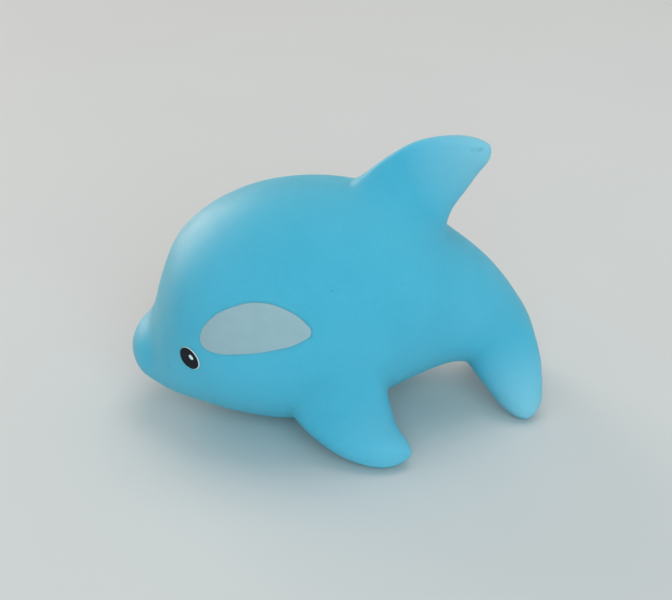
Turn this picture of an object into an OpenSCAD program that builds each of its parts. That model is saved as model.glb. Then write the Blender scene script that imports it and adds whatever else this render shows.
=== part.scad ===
// Squeaky bath toy: a hollow soft-vinyl whale calf with a squeaker plugged into its belly.
// Millimetres, +Z up, nose towards -X. The origin is on the ground under the middle of the toy.

/* [Body] */
// Length of the trunk, nose to tail
body_length = 84; // [76:1:96]
// Height of the back above the ground
body_height = 47; // [42:1:56]
// Width of the trunk at its widest
body_width = 50; // [44:1:60]
// Thickness of the vinyl wall
wall = 2.2; // [1.6:0.1:3]

/* [Dorsal fin] */
// Length of the dorsal fin, front root to tip
dorsal_length = 26; // [20:0.5:32]
// Rise of the dorsal fin over its front root
dorsal_height = 10; // [7:0.5:16]
// Thickness of the dorsal fin
dorsal_thickness = 7; // [5:0.5:10]

/* [Flippers] */
// Reach of a flipper, from inside the trunk to its tip
flipper_reach = 22; // [19:0.5:26]
// Breadth of a flipper at its root
flipper_breadth = 20; // [15:0.5:22]
// Thickness of a flipper
flipper_thickness = 9; // [6:0.5:11]
// Angle of a flipper below level
flipper_droop = 36; // [28:1:42]

/* [Tail flukes] */
// Reach of a fluke, from inside the tail to its tip
fluke_reach = 22; // [19:0.5:26]
// Breadth of a fluke at its root
fluke_breadth = 16; // [12:0.5:18]
// Thickness of a fluke
fluke_thickness = 9; // [6:0.5:10]
// Angle of a fluke below level
fluke_droop = 47; // [40:1:52]

/* [Squeaker] */
// Diameter of the barrel that plugs into the belly
barrel_d = 11.5; // [10:0.5:12.5]
// Height of the barrel over its seat
barrel_h = 15; // [14.5:0.5:20]
// Diameter of the flange
flange_d = 15; // [14.5:0.5:17]
// Thickness of the flange
flange_t = 1.2; // [0.8:0.1:1.8]
// Diameter of the air hole in the flange
air_hole_d = 3; // [2:0.5:4]
// Width of the reed
reed_w = 3.4; // [2.6:0.1:3.8]
// Thickness of the reed
reed_t = 0.2; // [0.15:0.05:0.3]
// Free length of the reed
reed_free = 8.5; // [7:0.5:9]

/* [Paint] */
// Length of a cheek patch
patch_length = 20.5; // [14:0.5:23]
// Height of a cheek patch
patch_height = 10.4; // [7:0.2:12]
// Length of the eye black along its tilt
eye_length = 4.6; // [3:0.1:5]
// Width of the eye black
eye_width = 3.6; // [2.8:0.1:4.6]
// Width of the glint
glint_d = 0.9; // [0.6:0.1:1.4]
// Length of the glint along the eye's tilt
glint_length = 1.2; // [0.8:0.1:1.6]
// Thickness of a layer of paint
film = 0.12; // [0.1:0.01:0.2]

/* [Hidden] */
$fn = 48;

// Sections of the trunk, nose to tail: back x and z, belly x and z, half width.
// They are percent of body_length from the middle, of body_height and of half of body_width.
trunk_profile = [
    [-48.8, 29, -48.8, 29, 0],
    [-46.9, 38, -46.9, 20, 27],
    [-43.5, 44, -42.5, 14, 41],
    [-41, 59, -38, 10.5, 58],
    [-36.5, 76.5, -32, 7.3, 76],
    [-27.6, 89.8, -24, 3, 92],
    [-15.5, 98, -13, -1, 100],
    [-1, 99.5, -2, 1.4, 98],
    [12, 94, 9, 8.3, 88],
    [24.4, 81, 18.5, 15, 69],
    [36.6, 63, 25.5, 18, 49],
    [45, 43, 31.5, 17, 37],
    [48.5, 27, 39, 13.5, 36],
    [45.5, 15, 45.5, 15, 0]
];

// Sections of a fin, root to tip: front edge and rear edge, each along and out, and half thickness.
// They are percent of its length or breadth, of its height or reach, and of half of its thickness.
// The first rows swell, so that a fin flows out of the trunk.
dorsal_profile = [
    [-23, -40, 54, -150, 430],
    [-8.5, -8, 66, -96, 310],
    [-1.5, 8, 69, -78, 200],
    [8.5, 28.5, 73, -54, 130],
    [20.5, 54.5, 80, -25, 98],
    [46, 89, 91, 18, 78],
    [76, 96.5, 98.5, 46, 62],
    [98.3, 71, 98.3, 71, 0]
];
flipper_profile = [
    [-63, 0, 34, 0, 330],
    [-57, 30, 41, 28, 250],
    [-51, 44, 44, 40, 145],
    [-33, 66, 48, 60, 94],
    [-4, 87, 60, 87, 70],
    [32, 98, 32, 98, 0]
];
fluke_profile = [
    [-66, 0, 22, 0, 130],
    [-64, 28, 31, 25, 140],
    [-60, 44, 36, 38, 118],
    [-42, 67, 38, 58, 95],
    [-15, 95, 32, 89, 70],
    [12, 105, 12, 105, 0]
];

// Outline of the left cheek patch, seen from outside, in percent of its length and height
patch_outline = [
    [-49.5, -23], [-47.5, -40], [-38, -50], [-12, -47], [18, -36], [43, -16],
    [51, 0], [44, 21], [27, 41], [6, 51], [-18, 40], [-41, 11]
];

trunk_rows = scaled(trunk_profile, body_length, body_height, body_width);
skin_rows = padded(trunk_rows);

// Side-view places of the paint marks, x and z
patch_middle = [-0.203 * body_length, 0.607 * body_height];
eye_middle = [-0.3445 * body_length, 0.445 * body_height];
glint_shift = [0.42, 0.5];
rim_shift = [0.15, 0.05];
eye_tilt = 46;
rim = 0.4;
paint_gap = 0.05;

// Side-view place of the dorsal fin's root, and where the flippers and flukes start inside the trunk
dorsal_root = [0.045 * body_length, 0.98 * body_height];
flipper_start = 0.24 * body_width;
fluke_start = 0.42 * body_length;
// Heights of the fin tips' middles over the ground, and how far a fluke starts past the middle of the tail
flipper_lift = 1;
fluke_lift = 1.5;
fluke_overlap = 1.5;
// The hollow stops where its half width would be less than this.
least_hollow = 3;
trunk_sides = 40;
hollow_sides = 28;
fin_sides = 24;

// The squeaker stands upright on a seat that is sunk into the belly behind the resting flat.
squeaker_x = 0;
seat_z = 0.11 * body_height;
seat_gap = 0.5;
hole_gap = 0.05;
grip = 3;
bead_rise = 0.7;
bead_d = barrel_d + 2 * bead_rise;
bead_h = 1.6;
bead_gap = 0.1;
barrel_wall = 1.2;
bore_d = barrel_d - 2 * barrel_wall;
// How far a cutter runs past what it cuts
past = 1;

// The reed stands over the trough of its block, and its root is held in a socket of the block.
plug_h = 3.5;
plug_gap = 0.03;
plug_top = seat_z + plug_h;
socket_depth = 2.2;
socket_floor = plug_top - socket_depth;
reed_play = 0.14;
reed_gap = 0.4;
slot_half = reed_t / 2 + reed_play;
trough_face = reed_t / 2 + reed_gap;
trough_w = 1.8;
trough_depth = 1.6;
block_d = 5.2;
wedge_d = 4.4;
block_end = 1;
trough_end = 0.5;
reed_foot = 0.05;

function scaled(profile, length, height, width) = [for (r = profile)
    [r[0] * length, r[1] * height, r[2] * length, r[3] * height, r[4] * width / 2] / 100];

// The row before a round end mirrors the next one. Before a flat end the rows run straight on.
function before(rows) = rows[0][4] == 0
    ? [rows[1][2], rows[1][3], rows[1][0], rows[1][1], -rows[1][4]]
    : 2 * rows[0] - rows[1];
function reversed(rows) = [for (i = [len(rows) - 1:-1:0]) rows[i]];
function padded(rows) = [before(rows), each rows, before(reversed(rows))];

function curve(a, b, c, d, t) =
    0.5 * (2 * b + (c - a) * t + (2 * a - 5 * b + 4 * c - d) * t * t + (3 * b - a - 3 * c + d) * t * t * t);
// The row at place s along a padded list of rows
function row_at(p, s) =
    let (i = min(max(floor(s), 0), len(p) - 4))
    curve(p[i], p[i + 1], p[i + 2], p[i + 3], s - i);
// A point of a section: angle 0 is on the back or front edge, 90 is on the +Y side
function section_point(r, angle) =
    let (c = cos(angle))
    [(r[0] + r[2]) / 2 + (r[0] - r[2]) / 2 * c, r[4] * sin(angle), (r[1] + r[3]) / 2 + (r[1] - r[3]) / 2 * c];
// A section made smaller by the wall all round
function inner_row(r) =
    let (half = [r[0] - r[2], r[1] - r[3]] / 2, cut = half * wall / norm(half))
    [r[0] - cut[0], r[1] - cut[1], r[2] + cut[0], r[3] + cut[1], r[4] - wall];

// A closed solid through sections. Each end is round where its section has no width and flat elsewhere.
module loft(rows, around, along) {
    p = padded(rows);
    spans = len(rows) - 1;
    first = rows[0][4] == 0 ? 1 : 0;
    last = rows[spans][4] == 0 ? spans * along - 1 : spans * along;
    rings = [for (k = [first:last]) row_at(p, k / along)];
    n = len(rings);
    points = [
        each [for (r = rings) each [for (j = [0:around - 1]) section_point(r, 360 * j / around)]],
        each [for (e = [rows[0], rows[spans]]) [(e[0] + e[2]) / 2, 0, (e[1] + e[3]) / 2]]
    ];
    end = (n - 1) * around;
    faces = [
        each [for (k = [0:n - 2]) each [for (j = [0:around - 1])
            let (a = k * around + j, b = k * around + (j + 1) % around)
            each [[a, b, b + around], [a, b + around, a + around]]]],
        each [for (j = [0:around - 1]) [n * around, (j + 1) % around, j]],
        each [for (j = [0:around - 1]) [n * around + 1, end + j, end + (j + 1) % around]]
    ];
    polyhedron(points = points, faces = faces, convexity = 6);
}

// A place on the skin is [s, angle]: along the sections and around them.
function unit(v) = v / norm(v);
function skin_at(q) = section_point(row_at(skin_rows, q[0]), q[1]);
function skin_out(q) = unit(cross(
    skin_at(q + [0.02, 0]) - skin_at(q - [0.02, 0]),
    skin_at(q + [0, 0.5]) - skin_at(q - [0, 0.5])));
// A drawing plane is its origin and its two directions.
// seek finds the place of the skin over a point of the plane.
function drawn(plane, q) = let (d = skin_at(q) - plane[0]) [d * plane[1], d * plane[2]];
function seek(plane, target, q, turns) = turns == 0 ? q :
    let (
        miss = drawn(plane, q) - target,
        s = (drawn(plane, q + [0.02, 0]) - drawn(plane, q)) / 0.02,
        a = (drawn(plane, q + [0, 0.5]) - drawn(plane, q)) / 0.5,
        area = s[0] * a[1] - s[1] * a[0],
        step = [miss[0] * a[1] - miss[1] * a[0], s[0] * miss[1] - s[1] * miss[0]] / area
    )
    seek(plane, target, q - step, turns - 1);

// A layer of paint on the left side over an outline drawn on the plane that touches the skin at its middle
module paint(middle, outline, layer, rings) {
    side_view = [[0, 0, 0], [1, 0, 0], [0, 0, 1]];
    q = seek(side_view, middle, [5, 270], 6);
    out = skin_out(q);
    across = unit(cross([0, 0, 1], out));
    plane = [skin_at(q), across, cross(out, across)];
    places = [q, each [for (k = [1:rings]) each [for (o = outline) seek(plane, o * k / rings, q, 5)]]];
    lift = paint_gap + layer * (film + paint_gap);
    n = len(outline);
    m = len(places);
    points = [
        each [for (p = places) skin_at(p) + lift * skin_out(p)],
        each [for (p = places) skin_at(p) + (lift + film) * skin_out(p)]
    ];
    faces = [for (j = [0:n - 1])
        let (i = (j + 1) % n, a = m - n + j, b = m - n + i)
        each [
            [0, j + 1, i + 1],
            [m, m + i + 1, m + j + 1],
            each [for (k = [0:rings - 2])
                let (c = 1 + k * n + j, d = 1 + k * n + i)
                each [
                    [c, c + n, d + n], [c, d + n, d],
                    [m + c, m + d + n, m + c + n], [m + c, m + d, m + d + n]
                ]],
            [a, a + m, b + m],
            [a, b + m, b]
        ]];
    polyhedron(points = points, faces = faces, convexity = 4);
}

function rounded(points, steps) = let (n = len(points)) [for (i = [0:n - 1]) each [for (k = [0:steps - 1])
    curve(points[(i + n - 1) % n], points[i], points[(i + 1) % n], points[(i + 2) % n], k / steps)]];
function oval(length, width, tilt) = [for (k = [0:15:345])
    [width / 2 * cos(k) * cos(tilt) - length / 2 * sin(k) * sin(tilt),
     width / 2 * cos(k) * sin(tilt) + length / 2 * sin(k) * cos(tilt)]];

module cheek_patch() {
    outline = [for (o = patch_outline) [o[0] * patch_length, o[1] * patch_height] / 100];
    paint(patch_middle, rounded(outline, 4), 0, 4);
}
module eye_white() {
    paint(eye_middle + rim_shift, oval(eye_length + rim, eye_width + rim, eye_tilt), 0, 3);
}
module eye_black() {
    paint(eye_middle, oval(eye_length, eye_width, eye_tilt), 1, 3);
}
module eye_glint() {
    paint(eye_middle + glint_shift, oval(glint_length, glint_d, eye_tilt), 2, 1);
}

module dorsal_fin() {
    translate([dorsal_root[0], 0, dorsal_root[1]])
        loft(scaled(dorsal_profile, dorsal_length, dorsal_height, dorsal_thickness), fin_sides, 3);
}
// A flipper and a fluke are placed by their tips, which reach the ground.
module flipper() {
    translate([0, -flipper_start, flipper_reach * sin(flipper_droop) + flipper_lift])
        rotate([90 + flipper_droop, 0, 0])
        loft(scaled(flipper_profile, flipper_breadth, flipper_reach, flipper_thickness), fin_sides, 3);
}
module fluke() {
    translate([fluke_start, fluke_overlap, fluke_reach * sin(fluke_droop) + fluke_lift])
        rotate([90 + fluke_droop, 0, 0])
        loft(scaled(fluke_profile, fluke_breadth, fluke_reach, fluke_thickness), fin_sides, 3);
}

// The hollow inside, less the collar that stands round the squeaker
module hollow() {
    difference() {
        loft([for (r = trunk_rows) if (r[4] > wall + least_hollow) inner_row(r)], hollow_sides, 2);
        translate([squeaker_x, 0, -past])
            cylinder(d = flange_d + 2 * seat_gap + 2 * wall, h = seat_z + grip + past);
    }
}

module body_skin() {
    color("deepskyblue") difference() {
        union() {
            loft(trunk_rows, trunk_sides, 3);
            dorsal_fin();
            for (side = [0, 1]) mirror([0, side, 0]) {
                flipper();
                fluke();
            }
        }
        hollow();
        translate([squeaker_x, 0, -body_height])
            cylinder(d = flange_d + 2 * seat_gap, h = seat_z + body_height);
        translate([squeaker_x, 0, 0])
            cylinder(d = barrel_d + 2 * hole_gap, h = seat_z + grip + past);
        translate([-body_length, -body_width, -body_height])
            cube([2 * body_length, 2 * body_width, body_height]);
    }
}

module squeaker_housing() {
    color("white") translate([squeaker_x, 0, 0]) difference() {
        union() {
            translate([0, 0, seat_z - flange_t]) cylinder(d = flange_d, h = flange_t);
            translate([0, 0, seat_z]) cylinder(d = barrel_d, h = barrel_h);
            translate([0, 0, seat_z + grip + bead_gap]) cylinder(d1 = bead_d, d2 = barrel_d, h = bead_h);
        }
        translate([0, 0, seat_z]) cylinder(d = bore_d, h = barrel_h + past);
        translate([0, 0, seat_z - flange_t - past]) cylinder(d = air_hole_d, h = flange_t + 2 * past);
    }
}

module reed_block() {
    color("ivory") translate([squeaker_x, 0, 0]) difference() {
        union() {
            translate([0, 0, seat_z]) cylinder(d = bore_d - 2 * plug_gap, h = plug_h);
            intersection() {
                translate([0, 0, seat_z]) cylinder(d = block_d, h = plug_h + reed_free + block_end);
                translate([trough_face, -block_d, seat_z])
                    cube([block_d, 2 * block_d, plug_h + reed_free + block_end]);
            }
        }
        translate([trough_face, -trough_w / 2, seat_z - past])
            cube([trough_depth, trough_w, past + plug_h + reed_free - trough_end]);
        translate([-slot_half, -reed_w / 2 - reed_play, socket_floor])
            cube([2 * slot_half, reed_w + 2 * reed_play, socket_depth + past]);
        translate([-slot_half, 0, 0]) half_round(wedge_d, socket_floor, socket_depth + past);
    }
}

// Half of an upright round bar, on the -X side of its flat
module half_round(d, z, h) {
    intersection() {
        translate([0, 0, z]) cylinder(d = d, h = h);
        translate([-d, -d, z]) cube([d, 2 * d, h]);
    }
}

module reed() {
    color("gold") translate([squeaker_x - reed_t / 2, -reed_w / 2, socket_floor + reed_foot])
        cube([reed_t, reed_w, socket_depth - reed_foot + reed_free]);
}

module reed_wedge() {
    color("silver") translate([squeaker_x - slot_half, 0, 0])
        half_round(wedge_d - 2 * plug_gap, socket_floor, socket_depth);
}

body_skin();
squeaker_housing();
reed_block();
reed();
reed_wedge();
color("gainsboro") cheek_patch();  // cheek_patch_left
color("gainsboro") mirror([0, 1, 0]) cheek_patch();  // cheek_patch_right
color("white") eye_white();  // eye_white_left
color("white") mirror([0, 1, 0]) eye_white();  // eye_white_right
color("black") eye_black();  // eye_black_left
color("black") mirror([0, 1, 0]) eye_black();  // eye_black_right
color("white") eye_glint();  // eye_glint_left
color("white") mirror([0, 1, 0]) eye_glint();  // eye_glint_right
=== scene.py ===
"""Looks of the squeaky bath toy: a soft blue vinyl whale calf with painted cheeks and eyes.

Metres, +Z up, nose towards -X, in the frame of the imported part.
"""

from math import atan2, cos, hypot, pi, radians, sin

import bpy
from mathutils import Matrix, Vector
from mathutils.bvhtree import BVHTree


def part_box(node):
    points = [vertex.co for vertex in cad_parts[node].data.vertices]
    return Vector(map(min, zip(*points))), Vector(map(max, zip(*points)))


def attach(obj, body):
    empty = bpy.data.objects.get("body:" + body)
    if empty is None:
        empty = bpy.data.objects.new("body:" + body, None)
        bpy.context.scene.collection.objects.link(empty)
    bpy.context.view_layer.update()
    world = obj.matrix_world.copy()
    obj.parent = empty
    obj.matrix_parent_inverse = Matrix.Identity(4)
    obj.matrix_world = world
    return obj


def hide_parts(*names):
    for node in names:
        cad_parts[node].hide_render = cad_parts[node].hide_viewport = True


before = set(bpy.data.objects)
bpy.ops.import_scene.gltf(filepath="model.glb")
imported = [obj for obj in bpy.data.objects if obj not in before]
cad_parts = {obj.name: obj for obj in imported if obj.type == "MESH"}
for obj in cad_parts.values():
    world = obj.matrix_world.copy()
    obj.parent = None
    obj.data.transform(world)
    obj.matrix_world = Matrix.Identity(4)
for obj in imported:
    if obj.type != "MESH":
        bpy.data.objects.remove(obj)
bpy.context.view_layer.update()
bpy.ops.object.select_all(action="DESELECT")
scene = bpy.context.scene

MM = 0.001
PERCENT = 0.01

# The trunk and its wall
BODY_LENGTH = 84 * MM
BODY_HEIGHT = 47 * MM
BODY_WIDTH = 50 * MM
WALL = 2.2 * MM
LEAST_HOLLOW = 3 * MM

# The fins: length or breadth, height or reach, thickness
DORSAL_SIZE = (26 * MM, 10 * MM, 7 * MM)
FLIPPER_SIZE = (20 * MM, 22 * MM, 9 * MM)
FLUKE_SIZE = (16 * MM, 22 * MM, 9 * MM)
FLIPPER_DROOP = radians(36)
FLUKE_DROOP = radians(47)
FLIPPER_LIFT = 1 * MM
FLUKE_LIFT = 1.5 * MM
FLUKE_OVERLAP = 1.5 * MM
DORSAL_ROOT = (0.045 * BODY_LENGTH, 0, 0.98 * BODY_HEIGHT)
FLIPPER_ROOT = (0, -0.24 * BODY_WIDTH, FLIPPER_SIZE[1] * sin(FLIPPER_DROOP) + FLIPPER_LIFT)
FLUKE_ROOT = (0.42 * BODY_LENGTH, FLUKE_OVERLAP, FLUKE_SIZE[1] * sin(FLUKE_DROOP) + FLUKE_LIFT)

# Sections of the trunk, nose to tail, in percent: back x and z, belly x and z, half width
TRUNK_PROFILE = [
    [-48.8, 29, -48.8, 29, 0],
    [-46.9, 38, -46.9, 20, 27],
    [-43.5, 44, -42.5, 14, 41],
    [-41, 59, -38, 10.5, 58],
    [-36.5, 76.5, -32, 7.3, 76],
    [-27.6, 89.8, -24, 3, 92],
    [-15.5, 98, -13, -1, 100],
    [-1, 99.5, -2, 1.4, 98],
    [12, 94, 9, 8.3, 88],
    [24.2, 80.7, 18.5, 15, 69],
    [36.5, 62.8, 25.5, 18, 49],
    [45.1, 43.2, 31.5, 17, 37],
    [48.5, 27, 39, 13.5, 36],
    [45.5, 15, 45.5, 15, 0],
]
# Sections of a fin, root to tip, in percent: front edge and rear edge, each along and out, half thickness
DORSAL_PROFILE = [
    [-23, -40, 54, -150, 430],
    [-8.5, -8, 66, -96, 310],
    [-1.5, 10, 69, -78, 200],
    [8.5, 30.5, 73, -54, 130],
    [20.5, 54.5, 80, -25, 98],
    [46, 89, 91, 18, 78],
    [77, 96.5, 99, 46.5, 62],
    [98.5, 78, 98.5, 78, 0],
]
FLIPPER_PROFILE = [
    [-63, 0, 34, 0, 330],
    [-57, 30, 41, 28, 250],
    [-51, 44, 44, 40, 145],
    [-33, 66, 48, 60, 94],
    [-4, 87, 60, 87, 70],
    [32, 98, 32, 98, 0],
]
FLUKE_PROFILE = [
    [-66, 0, 22, 0, 130],
    [-64, 28, 32.5, 25, 140],
    [-60, 44, 37.5, 38, 118],
    [-42, 67, 39, 58, 95],
    [-15, 95, 32, 89, 70],
    [12, 105, 12, 105, 0],
]
TRUNK_SIDES = 96
FIN_SIDES = 72
HOLLOW_SIDES = 64
STEPS = 6
# A round end is a ring as small as POINT, merged into one corner. Corners closer than DOUBLE are one.
POINT = 0.01 * MM
POINT_MERGE = 3 * POINT
DOUBLE = 0.002 * MM
# Edges flatter than this are shaded smooth.
SMOOTH_ANGLE = radians(40)

# The skin is cast in voxels, smoothed where a fin leaves the trunk, and evened out. The KEPT values say how
# far a fin's front edge, a rear edge and the flukes' rear edges are spared that smoothing.
VOXEL = 0.5 * MM
SMOOTH_FACTOR = 0.5
BLEND_TURNS = 240
BLEND_REACH = 9 * MM
FRONT_KEPT = 1.4
REAR_KEPT = 0.9
TAIL_KEPT = 0.4
TAIL_START = 0.35 * BODY_LENGTH
NOSE_DIP = -0.43 * BODY_LENGTH
NOSE_REACH = 5 * MM
NOSE_SHARE = 0.3
EVEN_TURNS = 8

# The squeaker and its seat in the belly
BARREL_RADIUS = 5.75 * MM
BARREL_WALL = 1.2 * MM
BEAD_RISE = 0.7 * MM
BEAD_HEIGHT = 1.6 * MM
BEAD_GAP = 0.1 * MM
AIR_HOLE_RADIUS = 1.5 * MM
FLANGE_DISH = 0.25 * MM
DISH_SLOPE = 0.4 * MM
HOLE_LIP = 1 * MM
RIM_LIP = 1.2 * MM
SQUEAKER_EDGE = 0.25 * MM
EDGE_STEPS = 3
EDGE_ANGLE = radians(25)
SEAT_GAP = 0.5 * MM
HOLE_GAP = 0.05 * MM
GRIP = 3 * MM
MOUTH_FLARE = 0.8 * MM
PAST = 1 * MM
ROUND_SIDES = 96

# Paint marks: side-view places, sizes and outline
FILM = 0.1 * MM
PATCH_MIDDLE = Vector((-0.203 * BODY_LENGTH, 0.602 * BODY_HEIGHT))
PATCH_SIZE = (20.5 * MM, 10.4 * MM)
PATCH_OUTLINE = [
    (-49.5, -22), (-47, -38), (-37, -47), (-12, -45), (18, -34), (43, -16),
    (50.5, -1), (44.5, 18.5), (28, 39), (6, 48.5), (-18, 38.5), (-41, 9),
]
PATCH_STEPS = 10
OVAL_STEPS = 16
EYE_MIDDLE = Vector((-0.3445 * BODY_LENGTH, 0.4375 * BODY_HEIGHT))
EYE_WIDTH = 3.6 * MM
EYE_LENGTH = 4.6 * MM
EYE_TILT = radians(46)
EYE_RIM = 0.2 * MM
RIM_SHIFT = Vector((0.08 * MM, 0.02 * MM))
GLINT_WIDTH = 0.65 * MM
GLINT_LENGTH = 1.1 * MM
GLINT_SHIFT = Vector((0.5 * MM, 0.5 * MM))

# Marks on the vinyl, in millimetres: dark specks and a grey smudge on the dorsal fin. Also the middles of
# the thin fin tips, each with the strength of its painted glow: painted light, as if shining through thin
# vinyl
SPECKS = [(2.2, -19.5, 36.6), (-2.6, -21.5, 34.7), (-33, -14.7, 16.7)]
SPECK_RADIUS = 0.12 * MM
SPECK_FADE = 0.15 * MM
STAINS = [(25.8, -1.9, 53.4), (26.6, -1.9, 53.5), (27.4, -1.9, 53.5)]
STAIN_RADIUS = 0.1 * MM
STAIN_FADE = 0.6 * MM
# Painted glow: thin tips made paler, as if light shone through them
TIP_GLOW_RADIUS = 1 * MM
TIP_GLOW_FADE = 14 * MM
PAINTED_TIP_GLOW = [
    ((27, 0, 53), 0.45),
    ((9, -29, 2), 0.15), ((9, 29, 2), 0.15),
    ((37, -15, 3), 0.4), ((37, 15, 3), 0.4),
]
# Noise stays mostly between the low and the high value, and hardly goes beyond the least and the most.
NOISE_LOW = 0.35
NOISE_HIGH = 0.65
NOISE_LEAST = 0.3
NOISE_MOST = 0.7
# A dust speck is full over this share of its radius.
DUST_MIDDLE = 0.6

# The side of the square floor, in metres
FLOOR_SIZE = 6

# The photograph's view, as if the image were 672 x 600 pixels
IMAGE_WIDTH = 672
FOCAL_PIXELS = 1250
SENSOR = 36
VIEW_TURN = radians(-5)
VIEW_RISE = radians(27)
VIEW_DISTANCE = 250 * MM
VIEW_TARGET = Vector((0, 0, 21.8 * MM))


# Small helpers for modelling

def select_only(piece):
    bpy.ops.object.select_all(action="DESELECT")
    piece.select_set(True)
    bpy.context.view_layer.objects.active = piece


def edit(piece):
    select_only(piece)
    bpy.ops.object.mode_set(mode="EDIT")
    bpy.ops.mesh.select_all(action="SELECT")


def stop_editing():
    bpy.ops.object.mode_set(mode="OBJECT")


def settle(piece):
    """Put the piece's place, turn and size into its mesh."""
    select_only(piece)
    bpy.ops.object.transform_apply(location=True, rotation=True, scale=True)


def modify(piece, kind, **settings):
    """Add a modifier and apply it."""
    select_only(piece)
    modifier = piece.modifiers.new(kind.title(), kind)
    for name, value in settings.items():
        setattr(modifier, name, value)
    bpy.ops.object.modifier_apply(modifier=modifier.name)


def cut(piece, cutter):
    """Take the cutter's shape out of the piece, and throw the cutter away."""
    before = len(piece.data.vertices)
    modify(piece, "BOOLEAN", object=cutter, operation="DIFFERENCE", solver="MANIFOLD")
    assert len(piece.data.vertices) != before, f"{cutter.name} did not cut {piece.name}"
    bpy.data.objects.remove(cutter)


def join_to(piece, others):
    select_only(piece)
    for other in others:
        other.select_set(True)
    bpy.ops.object.join()


def close_up(piece):
    """Merge the points of round ends, fill flat ends and turn the faces outwards."""
    edit(piece)
    bpy.ops.mesh.remove_doubles(threshold=POINT_MERGE)
    bpy.ops.mesh.select_all(action="SELECT")
    bpy.ops.mesh.fill_holes(sides=0)
    bpy.ops.mesh.select_all(action="SELECT")
    bpy.ops.mesh.normals_make_consistent(inside=False)
    stop_editing()


def clean_up(piece):
    """After a cut or a bevel, merge corners that lie on each other and split many-sided faces."""
    edit(piece)
    bpy.ops.mesh.remove_doubles(threshold=DOUBLE)
    bpy.ops.mesh.select_face_by_sides(number=4, type="GREATER", extend=False)
    bpy.ops.mesh.quads_convert_to_tris(ngon_method="BEAUTY")
    stop_editing()


def mirrored(piece, name):
    """A copy of a left piece on the right side of the animal."""
    select_only(piece)
    bpy.ops.object.duplicate()
    copy = bpy.context.object
    copy.name = name
    copy.scale.y = -1
    settle(copy)
    edit(copy)
    bpy.ops.mesh.normals_make_consistent(inside=False)
    stop_editing()
    return copy


def tree_of(piece):
    return BVHTree.FromObject(piece, bpy.context.evaluated_depsgraph_get())


# Lofts: each ring is drawn out of the one before it, section by section

def scaled(profile, size):
    """Rows in percent as rows in metres. The last number of a row is a share of half the width."""
    along, out, half = size[0] * PERCENT, size[1] * PERCENT, size[2] * PERCENT / 2
    factors = (along, out, along, out, half)
    return [[value * factor for value, factor in zip(row, factors)] for row in profile]


def row_before(rows):
    """The row before a round end mirrors the next one. Before a flat end the rows run straight on."""
    first, second = rows[0], rows[1]
    if first[-1] == 0:
        one_x, one_z, other_x, other_z, half_width = second
        return [other_x, other_z, one_x, one_z, -half_width]
    return [2 * a - b for a, b in zip(first, second)]


def curve_between(a, b, c, d, t):
    """A row at the share t of the way from b to c. Its smooth curve takes its slopes from a and d too."""
    return [
        0.5 * (2 * q + (r - p) * t + (2 * p - 5 * q + 4 * r - s) * t ** 2 + (3 * q - p - 3 * r + s) * t ** 3)
        for p, q, r, s in zip(a, b, c, d)
    ]


def rows_along(rows, steps):
    """Rows on smooth curves through the given ones."""
    padded = [row_before(rows), *rows, row_before(rows[::-1])]
    found = []
    for i in range(len(rows) - 1):
        found += [curve_between(*padded[i:i + 4], k / steps) for k in range(steps)]
    return found + [rows[-1]]


def ring_of(row):
    """Centre, half height, tilt and half width of a section."""
    one_x, one_z, other_x, other_z, half_width = row
    half_x = (one_x - other_x) / 2
    half_z = (one_z - other_z) / 2
    centre = Vector(((one_x + other_x) / 2, 0, (one_z + other_z) / 2))
    return centre, max(hypot(half_x, half_z), POINT), atan2(half_z, half_x), max(half_width, POINT)


def draw_out(old, new):
    """Extrude the selected ring and bring the new one to its size, tilt and place."""
    centre, half, tilt, width = old
    new_centre, new_half, new_tilt, new_width = new
    bpy.ops.mesh.extrude_edges_move()
    bpy.ops.transform.rotate(value=-tilt, orient_axis="Y", center_override=centre)
    bpy.ops.transform.resize(value=(new_half / half, new_width / width, 1), center_override=centre)
    bpy.ops.transform.rotate(value=new_tilt, orient_axis="Y", center_override=centre)
    bpy.ops.transform.translate(value=new_centre - centre)


def loft(name, rows, sides):
    """A closed solid through the sections that the rows give."""
    rings = [ring_of(row) for row in rows_along(rows, STEPS)]
    centre, half, tilt, width = rings[0]
    bpy.ops.mesh.primitive_circle_add(vertices=sides, radius=1, location=centre, rotation=(0, -tilt, 0))
    piece = bpy.context.object
    piece.name = name
    piece.scale = (half, width, 1)
    settle(piece)
    edit(piece)
    for old, new in zip(rings, rings[1:]):
        draw_out(old, new)
    stop_editing()
    close_up(piece)
    return piece


def turned(name, profile, axis):
    """A solid turned about an upright axis, from rings of a radius and a height."""
    radius, height = profile[0]
    bpy.ops.mesh.primitive_circle_add(vertices=ROUND_SIDES, radius=radius, location=(axis.x, axis.y, height))
    piece = bpy.context.object
    piece.name = name
    settle(piece)
    edit(piece)
    for (old_radius, old_height), (new_radius, new_height) in zip(profile, profile[1:]):
        grow = new_radius / old_radius
        bpy.ops.mesh.extrude_edges_move()
        bpy.ops.transform.resize(value=(grow, grow, 1), center_override=(axis.x, axis.y, old_height))
        bpy.ops.transform.translate(value=(0, 0, new_height - old_height))
    stop_editing()
    close_up(piece)
    return piece


# The skin: trunk and fins cast in one, hollow, with the squeaker's seat in the belly

def lowered_fin(name, profile, size, droop, root):
    """A flipper or a fluke of the left side, turned down from level."""
    fin = loft(name, scaled(profile, size), FIN_SIDES)
    fin.rotation_euler.x = pi / 2 + droop
    fin.location = root
    settle(fin)
    return fin


def make_fins():
    dorsal = loft("dorsal", scaled(DORSAL_PROFILE, DORSAL_SIZE), FIN_SIDES)
    dorsal.location = DORSAL_ROOT
    settle(dorsal)
    flipper = lowered_fin("flipper", FLIPPER_PROFILE, FLIPPER_SIZE, FLIPPER_DROOP, FLIPPER_ROOT)
    fluke = lowered_fin("fluke", FLUKE_PROFILE, FLUKE_SIZE, FLUKE_DROOP, FLUKE_ROOT)
    return [dorsal, flipper, fluke, mirrored(flipper, "flipper_right"), mirrored(fluke, "fluke_right")]


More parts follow.
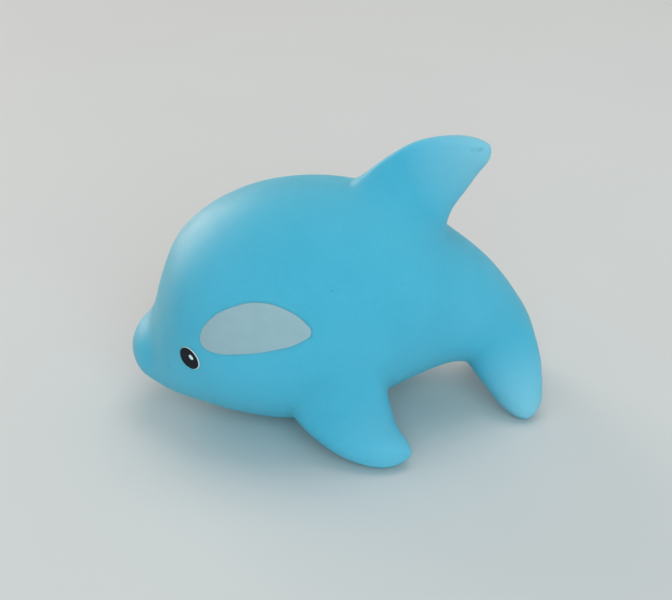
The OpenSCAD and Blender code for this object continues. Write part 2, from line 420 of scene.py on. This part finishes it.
def eased(share):
    return share * share * (3 - 2 * share)


def mark_blends(skin, trunk_tree, fin_trees):
    """A vertex group for smoothing.

    It is full where the side of a fin leaves the trunk and fades out away from there. It is empty at the
    front edge of a fin, which meets the trunk in a sharp notch, weak at a rear edge, and stronger at the
    flukes' rear edges, which run on from the tail. The dip between nose and forehead is in it too.
    """
    blends = skin.vertex_groups.new(name="blends")
    for vertex in skin.data.vertices:
        near_dip = 1 - abs(vertex.co.x - NOSE_DIP) / NOSE_REACH
        if near_dip > 0:
            blends.add([vertex.index], NOSE_SHARE * eased(near_dip), "REPLACE")
            continue
        _, _, _, to_trunk = trunk_tree.find_nearest(vertex.co)
        if to_trunk > BLEND_REACH:
            continue
        hits = [tree.find_nearest(vertex.co) for tree in fin_trees]
        _, out, _, to_fin = min(hits, key=lambda hit: hit[-1])
        near_root = 1 - max(to_trunk, to_fin) / BLEND_REACH
        if near_root > 0:
            rear_kept = TAIL_KEPT if vertex.co.x > TAIL_START else REAR_KEPT
            kept = min(1, max(-FRONT_KEPT * out.x, rear_kept * out.x))
            blends.add([vertex.index], eased(near_root) * (1 - kept), "REPLACE")


def inner_row(row):
    """A section made smaller by the wall all round."""
    one_x, one_z, other_x, other_z, half_width = row
    half_x = (one_x - other_x) / 2
    half_z = (one_z - other_z) / 2
    share = WALL / hypot(half_x, half_z)
    cut_x, cut_z = half_x * share, half_z * share
    return [one_x - cut_x, one_z - cut_z, other_x + cut_x, other_z + cut_z, half_width - WALL]


def squeaker_places():
    """Upright axis, flange radius, and the heights of flange, seat and barrel top, from the solids."""
    low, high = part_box("squeaker_housing")
    block_low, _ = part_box("reed_block")
    return (low + high) / 2, (high.x - low.x) / 2, low.z, block_low.z, high.z


def make_skin():
    trunk_rows = scaled(TRUNK_PROFILE, (BODY_LENGTH, BODY_HEIGHT, BODY_WIDTH))
    skin = loft("vinyl_skin", trunk_rows, TRUNK_SIDES)
    fins = make_fins()
    trunk_tree = tree_of(skin)
    fin_trees = [tree_of(fin) for fin in fins]
    join_to(skin, fins)
    modify(skin, "REMESH", mode="VOXEL", voxel_size=VOXEL)
    mark_blends(skin, trunk_tree, fin_trees)
    modify(skin, "SMOOTH", factor=SMOOTH_FACTOR, iterations=BLEND_TURNS, vertex_group="blends")
    modify(skin, "SMOOTH", factor=SMOOTH_FACTOR, iterations=EVEN_TURNS)
    # A block under the floor cuts the belly flat where it rests.
    bpy.ops.mesh.primitive_cube_add(size=2 * BODY_LENGTH, location=(0, 0, -BODY_LENGTH))
    cut(skin, bpy.context.object)

    axis, flange_radius, _, seat_height, _ = squeaker_places()
    seat_radius = flange_radius + SEAT_GAP
    hole_radius = BARREL_RADIUS + HOLE_GAP
    collar = turned("collar", [
        (seat_radius + WALL, -PAST),
        (seat_radius + WALL, seat_height + GRIP),
    ], axis)
    hollow_rows = [inner_row(row) for row in trunk_rows if row[-1] > WALL + LEAST_HOLLOW]
    hollow = loft("hollow", hollow_rows, HOLLOW_SIDES)
    cut(hollow, collar)
    cut(skin, hollow)
    seat = turned("seat", [
        (seat_radius + 2 * MOUTH_FLARE, -2 * MOUTH_FLARE),
        (seat_radius + MOUTH_FLARE, 0),
        (seat_radius + MOUTH_FLARE / 3, MOUTH_FLARE / 2),
        (seat_radius, 1.4 * MOUTH_FLARE),
        (seat_radius, seat_height),
        (hole_radius, seat_height),
        (hole_radius, seat_height + GRIP + PAST),
    ], axis)
    cut(skin, seat)
    clean_up(skin)
    bpy.ops.object.shade_smooth_by_angle(angle=SMOOTH_ANGLE)
    return skin


# Paint: an outline is drawn in on itself to a disc, laid on the skin and given the thickness of a film

def patch_loop():
    bpy.ops.curve.primitive_bezier_circle_add(radius=1)
    loop = bpy.context.object
    points = loop.data.splines[0].bezier_points
    points.add(len(PATCH_OUTLINE) - len(points))
    for point, (along, up) in zip(points, PATCH_OUTLINE):
        point.co = (along * PERCENT * PATCH_SIZE[0], up * PERCENT * PATCH_SIZE[1], 0)
        point.handle_left_type = "AUTO"
        point.handle_right_type = "AUTO"
    loop.data.resolution_u = PATCH_STEPS
    return loop


def oval_loop(width, length, tilt):
    bpy.ops.curve.primitive_bezier_circle_add(radius=1, rotation=(0, 0, tilt))
    loop = bpy.context.object
    loop.scale = (width / 2, length / 2, 1)
    loop.data.resolution_u = OVAL_STEPS
    return loop


def plane_on_skin(skin_tree, middle):
    """The plane that stands off the left side over a side-view place, with its Z out of the skin."""
    start = Vector((middle.x, -BODY_WIDTH, middle.y))
    place, out, _, _ = skin_tree.ray_cast(start, Vector((0, 1, 0)))
    across = Vector((0, 0, 1)).cross(out).normalized()
    turn = Matrix((across, out.cross(across), out)).transposed()
    return Matrix.Translation(place + PAST * out) @ turn.to_4x4()


def film(name, loop, skin, skin_tree, middle, layer, rings):
    """A film inside the loop, over a side-view place of the left side. Layer 0 lies on the skin itself."""
    select_only(loop)
    bpy.ops.object.convert(target="MESH")
    piece = bpy.context.object
    piece.name = name
    settle(piece)
    edit(piece)
    for left in range(rings - 1, 0, -1):
        shrink = left / (left + 1)
        bpy.ops.mesh.extrude_edges_move()
        bpy.ops.transform.resize(value=(shrink, shrink, 1), center_override=(0, 0, 0))
    bpy.ops.mesh.extrude_edges_move()
    bpy.ops.mesh.merge(type="CENTER")
    bpy.ops.mesh.select_all(action="SELECT")
    bpy.ops.mesh.normals_make_consistent(inside=False)
    stop_editing()
    if piece.data.polygons[0].normal.z < 0:
        edit(piece)
        bpy.ops.mesh.flip_normals()
        stop_editing()
    piece.matrix_world = plane_on_skin(skin_tree, middle)
    modify(piece, "SHRINKWRAP", target=skin, wrap_method="PROJECT", use_project_z=True,
           use_negative_direction=True, use_positive_direction=False, offset=layer * FILM)
    modify(piece, "SOLIDIFY", thickness=FILM, offset=1)
    settle(piece)
    bpy.ops.object.shade_smooth_by_angle(angle=SMOOTH_ANGLE)
    return piece


def make_paint(skin):
    """The films of both sides, each with the solid that it stands for and its slot."""
    skin_tree = tree_of(skin)
    patch = patch_loop()
    white = oval_loop(EYE_WIDTH + EYE_RIM, EYE_LENGTH + EYE_RIM, EYE_TILT)
    black = oval_loop(EYE_WIDTH, EYE_LENGTH, EYE_TILT)
    glint = oval_loop(GLINT_WIDTH, GLINT_LENGTH, EYE_TILT)
    # Mark, outline, place, layer, rings and slot
    marks = [
        ("cheek_patch", patch, PATCH_MIDDLE, 0, 10, "patch_paint"),
        ("eye_white", white, EYE_MIDDLE + RIM_SHIFT, 0, 5, "white_paint"),
        ("eye_black", black, EYE_MIDDLE, 1, 5, "black_paint"),
        ("eye_glint", glint, EYE_MIDDLE + GLINT_SHIFT, 2, 3, "white_paint"),
    ]
    films = []
    for mark, loop, middle, layer, rings, slot in marks:
        left = film(f"{mark}_film_left", loop, skin, skin_tree, middle, layer, rings)
        right = mirrored(left, f"{mark}_film_right")
        films += [(left, f"{mark}_left", slot), (right, f"{mark}_right", slot)]
    return films


# The squeaker's housing, with the rounded edges and the dished face of a moulding

def make_housing():
    axis, flange_radius, flange_low, seat_height, barrel_top = squeaker_places()
    bore_radius = BARREL_RADIUS - BARREL_WALL
    bead_low = seat_height + GRIP + BEAD_GAP
    housing = turned("squeaker_moulding", [
        (AIR_HOLE_RADIUS, seat_height),
        (AIR_HOLE_RADIUS, flange_low),
        (AIR_HOLE_RADIUS + HOLE_LIP, flange_low),
        (AIR_HOLE_RADIUS + HOLE_LIP + DISH_SLOPE, flange_low + FLANGE_DISH),
        (flange_radius - RIM_LIP - DISH_SLOPE, flange_low + FLANGE_DISH),
        (flange_radius - RIM_LIP, flange_low),
        (flange_radius, flange_low),
        (flange_radius, seat_height),
        (BARREL_RADIUS, seat_height),
        (BARREL_RADIUS, bead_low),
        (BARREL_RADIUS + BEAD_RISE, bead_low),
        (BARREL_RADIUS, bead_low + BEAD_HEIGHT),
        (BARREL_RADIUS, barrel_top),
        (bore_radius, barrel_top),
        (bore_radius, seat_height),
        (AIR_HOLE_RADIUS, seat_height),
    ], axis)
    modify(housing, "BEVEL", width=SQUEAKER_EDGE, segments=EDGE_STEPS,
           limit_method="ANGLE", angle_limit=EDGE_ANGLE)
    clean_up(housing)
    bpy.ops.object.shade_smooth_by_angle(angle=SMOOTH_ANGLE)
    return housing


# Finishes

def seen(red, green, blue):
    """A colour written as it is seen, 0 to 255, for a shader that works in linear light."""
    parts = [value / 255 for value in (red, green, blue)]
    return (*[p / 12.92 if p <= 0.04045 else ((p + 0.055) / 1.055) ** 2.4 for p in parts], 1)


class Finish:
    """A material with its shader, and short ways to add nodes to it."""

    def __init__(self, name):
        self.material = bpy.data.materials.new(name)
        self.material.use_nodes = True
        self.tree = self.material.node_tree
        self.shader = self.tree.nodes["Principled BSDF"]
        self.place = self.tree.nodes.new("ShaderNodeTexCoord").outputs["Object"]

    def set(self, **values):
        for name, value in values.items():
            self.shader.inputs[name.replace("_", " ")].default_value = value

    def feed(self, source, socket):
        self.tree.links.new(source, self.shader.inputs[socket])

    def node(self, kind, links=None, values=None, **settings):
        made = self.tree.nodes.new(kind)
        for name, value in settings.items():
            setattr(made, name, value)
        for name, value in (values or {}).items():
            made.inputs[name].default_value = value
        for name, source in (links or {}).items():
            self.tree.links.new(source, made.inputs[name])
        return made

    def noise(self, size, detail):
        """Cloudy noise with features of about the given size."""
        values = {"Scale": 1 / size, "Detail": detail}
        return self.node("ShaderNodeTexNoise", {"Vector": self.place}, values).outputs["Fac"]

    def ranged(self, source, low, high, to_low, to_high):
        values = {"From Min": low, "From Max": high, "To Min": to_low, "To Max": to_high}
        return self.node("ShaderNodeMapRange", {"Value": source}, values).outputs["Result"]

    def cloud(self, size, detail, low=0, high=1):
        """Soft patches that run from one value to another."""
        return self.ranged(self.noise(size, detail), NOISE_LOW, NOISE_HIGH, low, high)

    def uneven_roughness(self, size, detail, roughness, spread):
        """A roughness that differs from place to place by up to the spread."""
        noise = self.noise(size, detail)
        uneven = self.ranged(noise, NOISE_LEAST, NOISE_MOST, roughness - spread, roughness + spread)
        self.feed(uneven, "Roughness")

    def mixed(self, share, one, other):
        """A colour between two, where each is a colour or another node's output.

        A mix node has sockets of one name for each kind of value, so those for colours are picked by number.
        """
        mix = self.node("ShaderNodeMix", {"Factor": share}, data_type="RGBA")
        for socket, colour in ((mix.inputs[6], one), (mix.inputs[7], other)):
            if isinstance(colour, tuple):
                socket.default_value = colour
            else:
                self.tree.links.new(colour, socket)
        return mix.outputs[2]

    def dust(self, spacing, radius, share):
        """Tiny specks: one in a cell of the given spacing, in a share of the cells."""
        cells = self.node("ShaderNodeTexVoronoi", {"Vector": self.place}, {"Scale": 1 / spacing})
        edge = radius / spacing
        speck = self.ranged(cells.outputs["Distance"], edge, DUST_MIDDLE * edge, 0, 1)
        pick = self.node("ShaderNodeSeparateColor", {"Color": cells.outputs["Color"]}).outputs["Red"]
        chosen = self.node("ShaderNodeMath", {0: pick}, {1: share}, operation="LESS_THAN").outputs[0]
        return self.times(speck, chosen)

    def near(self, place, radius, soft):
        """A round spot about a place in millimetres, full inside and fading out over a soft edge."""
        middle = [value * MM for value in place]
        apart = self.node("ShaderNodeVectorMath", {0: self.place}, {1: middle}, operation="DISTANCE")
        return self.ranged(apart.outputs["Value"], radius + soft, radius, 0, 1)

    def times(self, one, other):
        made = self.node("ShaderNodeMath", {0: one}, operation="MULTIPLY")
        if isinstance(other, (int, float)):
            made.inputs[1].default_value = other
        else:
            self.tree.links.new(other, made.inputs[1])
        return made.outputs[0]

    def bump(self, height, depth):
        made = self.node("ShaderNodeBump", {"Height": height}, {"Distance": depth, "Strength": 1})
        self.feed(made.outputs["Normal"], "Normal")


def vinyl_finish():
    """Vinyl: a slight cloud, a fine grain, a painted glow that makes the thin tips paler, and a smudge,
    specks and dust.
    """
    finish = Finish("soft_blue_vinyl")
    colour = finish.mixed(finish.cloud(14 * MM, 2), seen(67, 170, 197), seen(73, 174, 201))
    grain = finish.times(finish.ranged(finish.noise(0.7 * MM, 4), 0.4, 0.75, 0, 1), 0.12)
    colour = finish.mixed(grain, colour, seen(104, 192, 218))
    # Painted light: each thin tip is mixed towards a pale colour, as if lit through the vinyl
    for place, share in PAINTED_TIP_GLOW:
        tip_glow = finish.near(place, TIP_GLOW_RADIUS, TIP_GLOW_FADE)
        colour = finish.mixed(finish.times(tip_glow, share), colour, seen(170, 202, 210))
    patchy = finish.cloud(1 * MM, 3, 0.1, 0.5)
    for place in STAINS:
        smudge = finish.times(finish.near(place, STAIN_RADIUS, STAIN_FADE), patchy)
        colour = finish.mixed(smudge, colour, seen(62, 120, 140))
    for place in SPECKS:
        spot = finish.near(place, SPECK_RADIUS, SPECK_FADE)
        colour = finish.mixed(finish.times(spot, 0.6), colour, seen(28, 70, 90))
    dust = finish.dust(9 * MM, SPECK_RADIUS, 0.1)
    colour = finish.mixed(finish.times(dust, 0.4), colour, seen(34, 84, 104))
    finish.feed(colour, "Base Color")
    finish.uneven_roughness(3 * MM, 4, 0.48, 0.04)
    finish.bump(finish.noise(0.35 * MM, 3), 0.012 * MM)
    finish.set(Subsurface_Weight=1, Subsurface_Scale=2.5 * MM, Subsurface_Radius=(0.7, 0.9, 1))
    finish.set(Specular_IOR_Level=0.6)
    return finish.material


def paint_finish(name, one, other, roughness, shine, specks):
    """Sprayed or printed paint: a fine grain, a slight cloud and a few specks."""
    finish = Finish(name)
    colour = finish.mixed(finish.cloud(2.5 * MM, 4), seen(*one), seen(*other))
    dust = finish.dust(1.6 * MM, SPECK_RADIUS, specks)
    colour = finish.mixed(finish.times(dust, 0.6), colour, seen(70, 90, 98))
    finish.feed(colour, "Base Color")
    finish.uneven_roughness(0.8 * MM, 3, roughness, 0.06)
    finish.bump(finish.noise(0.25 * MM, 3), 0.01 * MM)
    finish.set(Specular_IOR_Level=shine)
    return finish.material


def moulded_finish(name, one, other, roughness, glow):
    """Moulded plastic: faint flow marks, a fine grain and a little light in the wall."""
    finish = Finish(name)
    colour = finish.mixed(finish.cloud(4 * MM, 3), seen(*one), seen(*other))
    finish.feed(colour, "Base Color")
    finish.uneven_roughness(1.2 * MM, 4, roughness, 0.08)
    finish.bump(finish.noise(0.2 * MM, 3), 0.008 * MM)
    finish.set(Subsurface_Weight=glow, Subsurface_Scale=0.8 * MM, Subsurface_Radius=(1, 1, 0.9))
    return finish.material


def floor_finish():
    finish = Finish("pale_floor")
    colour = finish.mixed(finish.noise(60 * MM, 3), seen(202, 203, 204), seen(206, 207, 208))
    finish.feed(colour, "Base Color")
    finish.set(Roughness=0.6, Specular_IOR_Level=0.25)
    return finish.material


def dress(piece, material):
    piece.data.materials.clear()
    piece.data.materials.append(material)


# Put the pieces together

FINISHES = {
    "vinyl": vinyl_finish(),
    "patch_paint": paint_finish(
        "pale_cheek_paint", (147, 166, 174), (151, 169, 177), roughness=0.55, shine=0.4, specks=0.4),
    "white_paint": paint_finish(
        "white_eye_paint", (212, 220, 223), (220, 226, 228), roughness=0.5, shine=0.4, specks=0),
    "black_paint": paint_finish(
        "black_eye_paint", (18, 20, 27), (24, 26, 33), roughness=0.45, shine=0.15, specks=0),
    "squeaker_plastic": moulded_finish(
        "milky_squeaker_plastic", (226, 228, 224), (234, 235, 231), roughness=0.42, glow=0.25),
    "block_plastic": moulded_finish(
        "ivory_block_plastic", (230, 222, 200), (238, 231, 212), roughness=0.3, glow=0.2),
    "reed_film": moulded_finish(
        "amber_reed_film", (206, 190, 140), (218, 204, 158), roughness=0.25, glow=0.1),
}

skin = make_skin()
housing = make_housing()
made = [(skin, "body_skin", "vinyl"), (housing, "squeaker_housing", "squeaker_plastic"), *make_paint(skin)]
for piece, node, slot in made:
    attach(piece, "toy")
    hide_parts(node)
    dress(piece, FINISHES[slot])
for node, slot in (("reed_block", "block_plastic"), ("reed", "reed_film"), ("reed_wedge", "block_plastic")):
    dress(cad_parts[node], FINISHES[slot])


# Floor, light and camera

def make_floor():
    bpy.ops.object.select_all(action="DESELECT")
    bpy.ops.mesh.primitive_plane_add(size=FLOOR_SIZE)
    floor = bpy.context.object
    floor.name = "floor"
    dress(floor, floor_finish())


def make_lamp(name, place, size, power, colour, shines):
    """A soft square lamp. One that does not shine lights the toy but is not mirrored in it."""
    lamp = bpy.data.objects.new(name, bpy.data.lights.new(name, "AREA"))
    scene.collection.objects.link(lamp)
    lamp.data.size = size
    lamp.data.energy = power
    lamp.data.color = colour
    lamp.visible_glossy = shines
    lamp.location = place
    lamp.rotation_euler = (lamp.location - VIEW_TARGET).to_track_quat("Z", "Y").to_euler()


def make_room(colour, strength):
    scene.world = bpy.data.worlds.new("soft_room")
    scene.world.use_nodes = True
    background = scene.world.node_tree.nodes["Background"]
    background.inputs["Color"].default_value = colour
    background.inputs["Strength"].default_value = strength


def make_camera():
    camera = bpy.data.objects.new("camera", bpy.data.cameras.new("camera"))
    scene.collection.objects.link(camera)
    camera.data.sensor_fit = "HORIZONTAL"
    camera.data.sensor_width = SENSOR
    camera.data.lens = FOCAL_PIXELS / IMAGE_WIDTH * SENSOR
    camera.data.clip_start = 10 * MM
    back = Vector((sin(VIEW_TURN) * cos(VIEW_RISE), -cos(VIEW_TURN) * cos(VIEW_RISE), sin(VIEW_RISE)))
    camera.location = VIEW_TARGET + VIEW_DISTANCE * back
    camera.rotation_euler = back.to_track_quat("Z", "Y").to_euler()
    scene.camera = camera


make_floor()
make_lamp("window", (-1.7, 2.4, 0.9), size=1.8, power=38, colour=(1, 0.84, 0.7), shines=True)
make_lamp("overhead", (0.1, 0.2, 0.85), size=0.6, power=2.4, colour=(1, 0.92, 0.86), shines=False)
make_lamp("front_fill", (0.2, -2, 0.8), size=2, power=42, colour=(0.55, 0.95, 1), shines=False)
make_room(colour=(1, 0.95, 0.94, 1), strength=0.5)
make_camera()
scene.view_settings.view_transform = "Standard"
